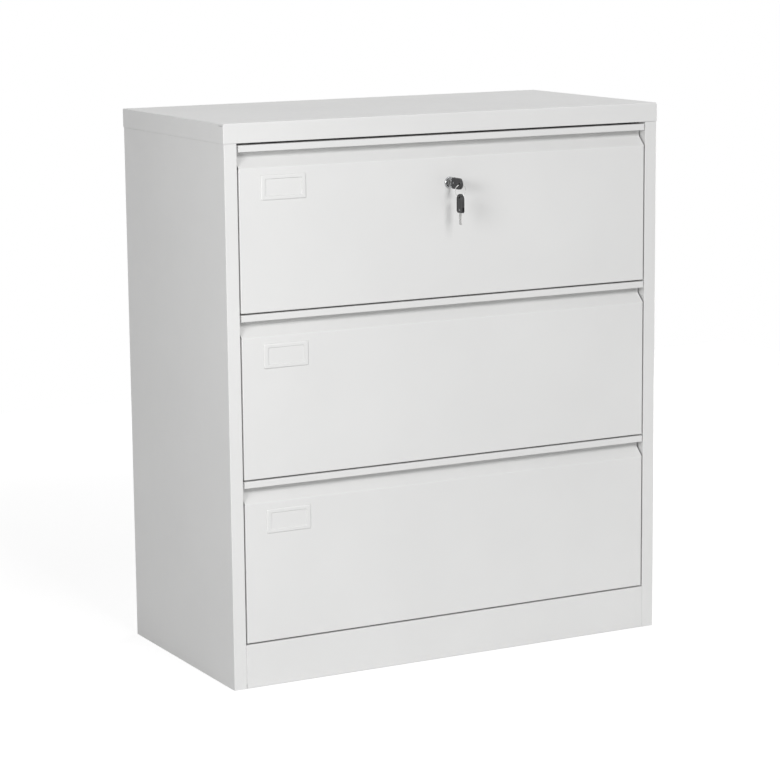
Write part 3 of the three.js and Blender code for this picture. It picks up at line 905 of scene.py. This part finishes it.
def moved_right(points, distance):
    face = [Vector(p) for p in points]
    ways = [(b - a).normalized() for a, b in zip(face, face[1:])]
    rights = [Vector((w.y, -w.x)) for w in ways]
    moved = []
    for i, point in enumerate(face):
        before = rights[max(i - 1, 0)]
        after = rights[min(i, len(rights) - 1)]
        moved.append(point + (before + after) * distance / (1 + before.dot(after)))
    return moved


def rounded(points, radii, steps):
    path = [points[0]]
    for before, corner, after, radius in zip(points, points[1:], points[2:], radii):
        shorter = min((before - corner).length, (after - corner).length)
        back = (before - corner).normalized()
        on = (after - corner).normalized()
        half_angle = back.angle(on) / 2
        reach = min(radius / math.tan(half_angle), BEND_SHARE_OF_FLAT * shorter)
        arc = reach * math.tan(half_angle)
        centre = corner + (back + on).normalized() * arc / math.sin(half_angle)
        start = corner + back * reach - centre
        end = corner + on * reach - centre
        turn = start.angle_signed(end)
        for i in range(steps + 1):
            path.append(centre + Matrix.Rotation(-turn * i / steps, 2) @ start)
    return path + [points[-1]]


def pull_section(depth, height):
    bent = moved_right([
        (depth, 0),
        (0, 0),
        (0, height - PULL_SLOPE_DROP),
        (PULL_DEPTH, height - PULL_WALL_DROP),
        (PULL_DEPTH, height - SHEET),
        (SHEET, height - SHEET),
        (SHEET, height - PULL_LIP),
    ], half)
    bent[-1].y += half
    bent.append(bent[-1] + Vector((HEM_GAP, 0)))
    bent.append(bent[-1] + Vector((0, HEM_RISE)))
    radii = (BEND, SLOPE_BEND, WALL_BEND, BEND, BEND, HEM_GAP, HEM_GAP)
    return rounded(bent, radii, BEND_STEPS)


def front_sheet(name, low, high):
    depth = high.y - low.y
    half_width = (high.x - low.x) / 2
    side_bend = half_width - half - BEND
    columns = (-half_width, -side_bend, side_bend, half_width)
    left, right = 1, 2
    face_bottom = BEND_STEPS + 1
    face_top = face_bottom + 1
    mesh = bmesh.new()
    grid = [[mesh.verts.new((x, y, z)) for x in columns] for y, z in pull_section(depth, high.z - low.z)]
    for row, (one, two) in enumerate(zip(grid, grid[1:])):
        for column in range(len(columns) - 1):
            if row != face_bottom or column == left:
                mesh.faces.new((one[column], one[column + 1], two[column + 1], two[column]))
    turns = [math.pi / 2 * step / BEND_STEPS for step in range(1, BEND_STEPS + 1)]
    flange = [(BEND * math.sin(turn), half + BEND * (1 - math.cos(turn))) for turn in turns]
    flange.append((BEND, depth))
    for column, side in ((left, -1), (right, 1)):
        edge = [grid[face_bottom][column], grid[face_top][column]]
        for out, back in flange:
            x = side * (side_bend + out)
            next_edge = [mesh.verts.new((x, back, vert.co.z)) for vert in edge]
            mesh.faces.new((edge[0], next_edge[0], next_edge[1], edge[1]))
            edge = next_edge
    place = Matrix.Translation(((low.x + high.x) / 2, low.y, low.z))
    return smooth_piece(name, mesh, place, coat)


def round_cutter(name, radius, reach, place):
    profile = [(0, -reach), (radius, -reach), (radius, reach), (0, reach)]
    return turned(name, profile, HOLE_STEPS, place)


barrel_low, barrel_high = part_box("lock_barrel")
lock_axis = (barrel_low + barrel_high) / 2
for number in DRAWERS:
    drawer = f"drawer_{number}"
    low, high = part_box(f"{drawer}_front")
    sheet = front_sheet(f"{drawer}_face", low, high)
    give_wall(sheet, SHEET)
    cutters = []
    if number == LOCKED_DRAWER:
        in_face = Matrix.Translation((lock_axis.x, low.y, lock_axis.z)) @ FACING_BACK
        cutters.append(round_cutter("lock_hole", LOCK_HOLE / 2, LOCK_HOLE_OVERCUT, in_face))
    face = cut_and_eased(sheet, f"{drawer}_face", cutters)
    belongs(face, drawer, "paint", f"{drawer}_front")

# Label holders: a pressed steel frame on each drawer front, spot welded at the upper left and painted with
# it, open in the middle, with the edge of its window rolled over.
LABEL_SIDE = 9 * MM
LABEL_EDGE = 7.75 * MM
LABEL_SLOPE = 2.2 * MM
WINDOW_SLOPE = 1.0 * MM
LABEL_CORNER = 2.4 * MM
CORNER_STEPS = 4
SLOPE_STEPS = 8


def rounded_rectangle(half_width, half_height, corner):
    points = []
    for quarter, (sx, sz) in enumerate(((1, 1), (-1, 1), (-1, -1), (1, -1))):
        for step in range(CORNER_STEPS + 1):
            angle = (quarter + step / CORNER_STEPS) * math.pi / 2
            x = sx * (half_width - corner) + corner * math.cos(angle)
            z = sz * (half_height - corner) + corner * math.sin(angle)
            points.append((x, z))
    return points


def bridged(name, loops, place, finish, capped):
    mesh = bmesh.new()
    rings = [[mesh.verts.new(point) for point in loop] for loop in loops]
    pairs = list(zip(rings, rings[1:]))
    if not capped:
        pairs.append((rings[-1], rings[0]))
    for one, two in pairs:
        for i in range(len(one)):
            following = (i + 1) % len(one)
            mesh.faces.new((one[i], one[following], two[following], two[i]))
    if capped:
        mesh.faces.new(rings[0])
        mesh.faces.new(rings[-1])
    return smooth_piece(name, mesh, place, finish)


def label_frame(name, half_width, half_height, rise, place):
    shares = [step / SLOPE_STEPS for step in range(SLOPE_STEPS + 1)]
    shoulder = [(share, rise * (1 - math.cos(math.pi * share)) / 2) for share in shares]
    loops = []
    for share, up in shoulder:
        inset = LABEL_SLOPE * share
        rim = rounded_rectangle(half_width - inset, half_height - inset, LABEL_CORNER)
        loops.append([(x, -up, z) for x, z in rim])
    for share, up in reversed(shoulder):
        inset = WINDOW_SLOPE * share
        window = rounded_rectangle(
            half_width - LABEL_SIDE + inset, half_height - LABEL_EDGE + inset, LABEL_CORNER
        )
        loops.append([(x, -up, z) for x, z in window])
    holder = bridged(name, loops, place, coat, capped=False)
    holder.modifiers.new("normals", "WEIGHTED_NORMAL")
    return as_plain_mesh(holder, name)


for number in DRAWERS:
    drawer = f"drawer_{number}"
    low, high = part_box(f"{drawer}_label_holder")
    middle = (low + high) / 2
    half_size = (high - low) / 2
    face_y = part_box(f"{drawer}_front")[0].y
    on_face = Matrix.Translation((middle.x, face_y, middle.z))
    holder = label_frame(f"{drawer}_label_frame", half_size.x, half_size.z, face_y - low.y, on_face)
    belongs(holder, drawer, "paint", f"{drawer}_label_holder")

# Cam lock: a chrome-plated barrel with a chamfered bezel, clamped through the top drawer's front by a nut,
# and a chrome-plated plug with the keyway that turns in it. The nut, the cam and the bolt behind keep their
# drawn shapes, in zinc.
BEZEL_RADIUS = 10.5 * MM
BARREL_RADIUS = 9.2 * MM
BORE_RADIUS = 6.5 * MM
PLUG_RADIUS = 6.2 * MM
PLUG_SINK = 1.1 * MM
BEZEL_STANDOFF = 0.3 * MM
KEYWAY_HALF_WIDTH = 1.4 * MM
KEYWAY_HALF_HEIGHT = 4.4 * MM
KEYWAY_PLAY = 0.4 * MM
LOCK_STEPS = 48
LOCK_ROUND = 0.1 * MM
# Points in millimetres: how far from the bore, the rim or the plug's edge, and how far behind the face.
BORE_MOUTH = ((0, 0.5), (0.35, 0.1), (0.7, 0))
BEZEL_CHAMFER = ((1.5, 0), (1.1, 0.12), (0.25, 1.0), (0, 1.5))
PLUG_EDGE = ((0.6, 0), (0.15, 0.15), (0, 0.6))

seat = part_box("drawer_1_front")[0].y - BEZEL_STANDOFF
on_lock = Matrix.Translation((lock_axis.x, 0, lock_axis.z)) @ FACING_BACK
nose, tail = barrel_low.y, barrel_high.y
barrel_profile = [
    *((BORE_RADIUS + out * MM, nose + deep * MM) for out, deep in BORE_MOUTH),
    *((BEZEL_RADIUS - inward * MM, nose + deep * MM) for inward, deep in BEZEL_CHAMFER),
    (BEZEL_RADIUS, seat),
    (BARREL_RADIUS, seat),
    (BARREL_RADIUS, tail),
    (BORE_RADIUS, tail),
]
barrel = turned("lock_body", barrel_profile, LOCK_STEPS, on_lock, chrome, closed=True)
belongs(cut_and_eased(barrel, "lock_body", rounding=LOCK_ROUND), "drawer_1", "chrome", "lock_barrel")

plug_low, plug_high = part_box("lock_plug")
plug_face = plug_low.y + PLUG_SINK
plug_profile = [
    (0, plug_face),
    *((PLUG_RADIUS - inward * MM, plug_face + deep * MM) for inward, deep in PLUG_EDGE),
    (PLUG_RADIUS, plug_high.y),
    (0, plug_high.y),
]
keyway_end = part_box("key_blade")[1].y + KEYWAY_PLAY
keyway = box_cutter(
    "keyway",
    (lock_axis.x - KEYWAY_HALF_WIDTH, plug_low.y - MM, lock_axis.z - KEYWAY_HALF_HEIGHT),
    (lock_axis.x + KEYWAY_HALF_WIDTH, keyway_end, lock_axis.z + KEYWAY_HALF_HEIGHT),
)
plug = turned("lock_cylinder", plug_profile, LOCK_STEPS, on_lock, chrome)
plug = cut_and_eased(plug, "lock_cylinder", [keyway], LOCK_ROUND)
belongs(plug, "lock_core", "chrome", "lock_plug")

for node in ("lock_nut", "lock_cam", "lock_bolt"):
    finish_drawn(node, zinc)

# Folding keys: a moulded black plastic head with a raised rim and a sunk panel on both faces, a ring hole
# at one end and a chrome rivet at the other, on which the flat nickel-plated blade folds. One is in the
# lock, and the spare one hangs below it from the ring.
HEAD_LENGTH = 34.5 * MM
HEAD_WIDTH = 20.5 * MM
HEAD_THICKNESS = 5.6 * MM
HEAD_CHAMFER = 3 * MM
HEAD_END_STEPS = 16
PIVOT_INSET = 5.5 * MM
HOLE_INSET = 6 * MM
HOLE_RADIUS = 2.2 * MM
HOLE_FLARE = 1.4 * MM
HOLE_FLARE_DEPTH = 0.7 * MM
KEY_RIVET_STEPS = 24
BLADE_LENGTH = 22 * MM
BLADE_WIDTH = 8 * MM
BLADE_THICKNESS = 2 * MM
BLADE_POINT = 2.5 * MM
TANG_STEPS = 8
SLOT_PLAY = 0.4 * MM
BIT_START = 10 * MM
BIT_PITCH = 3 * MM
BIT_SLOPE = 0.9 * MM
BIT_FLAT_END = 1.6 * MM
GROOVE_OFFSET = 0.9 * MM
GROOVE_HALF = 0.6 * MM
GROOVE_DEPTH = 0.5 * MM
GROOVE_LEAD = 3 * MM
KEY_ROUND = 0.12 * MM
# Points in millimetres: how far inside the head's outline, and how far below its crown.
HEAD_SECTION = (
    (2.9, 0.5), (2.5, 0.5), (2.0, 0.12), (1.7, 0), (0.9, 0), (0.35, 0.25), (0.05, 0.8), (0, 1.4),
)
# Points in millimetres: the rivet's radius, and how far below the head's crown.
KEY_RIVET_OUTLINE = ((0, -0.05), (1.2, 0), (1.9, 0.25), (2.1, 0.5), (1.2, 0.5))
BIT_DEPTHS_MM = (1.3, 0.6, 1.7, 0.9, 1.4)
PLASTIC_DARK = (0.014, 0.014, 0.015, 1)
PLASTIC_LIGHT = (0.03, 0.03, 0.031, 1)
PLASTIC_ROUGHNESS = (0.32, 0.48)
GRAIN_DEPTH = 0.02 * MM
NICKEL_DARK = (0.48, 0.48, 0.475, 1)
NICKEL_LIGHT = (0.62, 0.62, 0.61, 1)
NICKEL_ROUGHNESS = (0.2, 0.36)
RUB_DEPTH = 0.006 * MM
FACING_RIGHT = Matrix.Rotation(math.pi / 2, 4, "Y")


def moulded_black():
    finish, tree = new_finish("moulded_black_plastic", metallic=0.0)
    rubbed = between(tree, noise(tree, per_metre=120, detail=3), 0, 1)
    grain = noise(tree, per_metre=4000, detail=1)
    dress(
        tree,
        colour=blend_colours(tree, rubbed, PLASTIC_DARK, PLASTIC_LIGHT),
        roughness=between(tree, noise(tree, per_metre=500), *PLASTIC_ROUGHNESS),
        normal=relief(tree, grain, GRAIN_DEPTH, strength=0.4),
    )
    return finish


def nickel_plate():
    finish, tree = new_finish("nickel_plate", metallic=1.0)
    rubbed = noise(tree, per_metre=900, detail=4, stretch=(1, 0.2, 0.2))
    dress(
        tree,
        colour=blend_colours(tree, between(tree, rubbed, 0, 1), NICKEL_DARK, NICKEL_LIGHT),
        roughness=between(tree, rubbed, *NICKEL_ROUGHNESS),
        normal=relief(tree, rubbed, RUB_DEPTH, strength=0.2),
    )
    return finish


black_plastic = moulded_black()
nickel = nickel_plate()
crown = HEAD_THICKNESS / 2


def head_outline(inset):
    near = PIVOT_INSET - inset
    far = PIVOT_INSET - HEAD_LENGTH + inset
    wide = HEAD_WIDTH / 2 - inset
    cut = HEAD_CHAMFER - inset * (2 - math.sqrt(2))
    outline = [(near, cut - wide), (near, wide - cut), (near - cut, wide)]
    for step in range(HEAD_END_STEPS + 1):
        angle = math.pi / 2 + math.pi * step / HEAD_END_STEPS
        outline.append((far + wide + wide * math.cos(angle), wide * math.sin(angle)))
    outline.append((near - cut, -wide))
    return outline


def key_head(name, place):
    layers = [(crown - down * MM, head_outline(inset * MM)) for inset, down in HEAD_SECTION]
    layers += [(-x, outline) for x, outline in reversed(layers)]
    loops = [[(x, y, z) for y, z in outline] for x, outline in layers]
    head = bridged(name, loops, place, black_plastic, capped=True)
    flare = [
        (0, -crown - MM),
        (HOLE_RADIUS + HOLE_FLARE, -crown - MM),
        (HOLE_RADIUS, -crown + HOLE_FLARE_DEPTH),
        (HOLE_RADIUS, crown - HOLE_FLARE_DEPTH),
        (HOLE_RADIUS + HOLE_FLARE, crown + MM),
        (0, crown + MM),
    ]
    at_hole = place @ Matrix.Translation((0, PIVOT_INSET + HOLE_INSET - HEAD_LENGTH, 0))
    hole = turned("ring_hole", flare, HOLE_STEPS, at_hole @ FACING_RIGHT)
    gap = BLADE_THICKNESS / 2 + SLOT_PLAY
    slot = box_cutter(
        "blade_slot",
        (-gap, -BLADE_WIDTH / 2 - SLOT_PLAY, -HEAD_WIDTH),
        (gap, HEAD_LENGTH, HEAD_WIDTH),
    )
    slot.data.transform(place)
    return cut_and_eased(head, name, [hole, slot], KEY_ROUND)


def key_rivet(name, place):
    near = [(radius * MM, down * MM - crown) for radius, down in KEY_RIVET_OUTLINE]
    far = [(radius, -along) for radius, along in reversed(near)]
    return turned(name, near + far, KEY_RIVET_STEPS, place @ FACING_RIGHT, chrome)


def blade_outline(wide, tip):
    edge = [(tip, wide - BLADE_POINT), (tip - BLADE_POINT, wide)]
    cuts = []
    for index, depth in enumerate(BIT_DEPTHS_MM):
        start = BIT_START + index * BIT_PITCH
        bottom = wide - depth * MM
        cuts += [(start, wide), (start + BIT_SLOPE, bottom), (start + BIT_FLAT_END, bottom)]
    edge += [(y, z) for y, z in reversed(cuts) if y < tip - BLADE_POINT]
    angles = [math.pi * i / TANG_STEPS for i in range(TANG_STEPS + 1)]
    tang = [(-wide * math.sin(angle), wide * math.cos(angle)) for angle in angles]
    return edge + tang + [(y, -z) for y, z in reversed(edge)]


def key_blade(name, place):
    thick = BLADE_THICKNESS / 2
    tip = PIVOT_INSET + BLADE_LENGTH
    outline = blade_outline(BLADE_WIDTH / 2, tip)
    loops = [[(x, y, z) for y, z in outline] for x in (-thick, thick)]
    blade = bridged(name, loops, place, nickel, capped=True)
    for face in blade.data.polygons:
        face.use_smooth = False
    grooves = []
    for side in (-1, 1):
        middle = -side * GROOVE_OFFSET
        groove = box_cutter(
            "groove",
            (side * (thick - GROOVE_DEPTH), BIT_START - GROOVE_LEAD, middle - GROOVE_HALF),
            (side * 2 * thick, 2 * tip, middle + GROOVE_HALF),
        )
        groove.data.transform(place)
        grooves.append(groove)
    return cut_and_eased(blade, name, grooves, KEY_ROUND)


in_lock = Matrix.Translation((lock_axis.x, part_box("key_head")[1].y - PIVOT_INSET, lock_axis.z))
spare_low, spare_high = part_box("spare_key_head")
hanging = Matrix.Translation((lock_axis.x, (spare_low.y + spare_high.y) / 2, spare_low.z + PIVOT_INSET))
hanging @= FACING_BACK
belongs(key_head("key_grip", in_lock), "key_head", "black_plastic", "key_head")
belongs(key_rivet("key_rivet", in_lock), "key_head", "chrome")
belongs(key_blade("key_shank", in_lock), "key", "chrome", "key_blade")
belongs(key_head("spare_key_grip", hanging), "spare_key", "black_plastic", "spare_key_head")
belongs(key_rivet("spare_key_rivet", hanging), "spare_key", "chrome")
belongs(key_blade("spare_key_shank", hanging), "spare_key_blade", "chrome", "spare_key_blade")

# Key ring: a split ring of flat nickel-plated spring wire, wound twice round and threaded through the holes
# in both heads, which joins the two keys.
RING_RADIUS = 11 * MM
RING_WIRE_HIGH = 0.48 * MM
RING_WIRE_DEEP = 0.31 * MM
RING_TURNS = 1.96
RING_STEPS = 48
WIRE_STEPS = 12


def ring_tree():
    tree, given = new_tree("split_ring", (
        ("Radius", "NodeSocketFloat"),
        ("Turns", "NodeSocketFloat"),
        ("Lift", "NodeSocketFloat"),
        ("Wire", "NodeSocketVector"),
    ))
    coil = tree.nodes.new("GeometryNodeCurveSpiral")
    coil.inputs["Resolution"].default_value = RING_STEPS
    wire = tree.nodes.new("GeometryNodeCurvePrimitiveCircle")
    wire.inputs["Resolution"].default_value = WIRE_STEPS
    wire.inputs["Radius"].default_value = 1.0
    flat = tree.nodes.new("GeometryNodeTransform")
    swept = tree.nodes.new("GeometryNodeCurveToMesh")
    swept.inputs["Fill Caps"].default_value = True
    smooth = tree.nodes.new("GeometryNodeSetShadeSmooth")
    tree.links.new(given.outputs["Radius"], coil.inputs["Start Radius"])
    tree.links.new(given.outputs["Radius"], coil.inputs["End Radius"])
    tree.links.new(given.outputs["Turns"], coil.inputs["Rotations"])
    tree.links.new(given.outputs["Lift"], coil.inputs["Height"])
    tree.links.new(wire.outputs["Curve"], flat.inputs["Geometry"])
    tree.links.new(given.outputs["Wire"], flat.inputs["Scale"])
    tree.links.new(coil.outputs["Curve"], swept.inputs["Curve"])
    tree.links.new(flat.outputs["Geometry"], swept.inputs["Profile Curve"])
    return end_tree(tree, given, swept.outputs["Mesh"], smooth)


ring_low, ring_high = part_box("key_ring")
ring_lift = 2 * RING_WIRE_DEEP * RING_TURNS
ring = in_scene("split_ring", bpy.data.meshes.new("split_ring"))
grow(ring, ring_tree(), {
    "Radius": RING_RADIUS,
    "Turns": RING_TURNS,
    "Lift": ring_lift,
    "Wire": (RING_WIRE_HIGH, RING_WIRE_DEEP, 1),
    "Finish": nickel,
})
ring = as_plain_mesh(ring, "split_ring")
ring.data.transform(Matrix.Translation((0, 0, -ring_lift / 2)))
ring.data.transform(Matrix.Translation((ring_low + ring_high) / 2) @ FACING_BACK)
belongs(ring, "key_ring", "chrome", "key_ring")
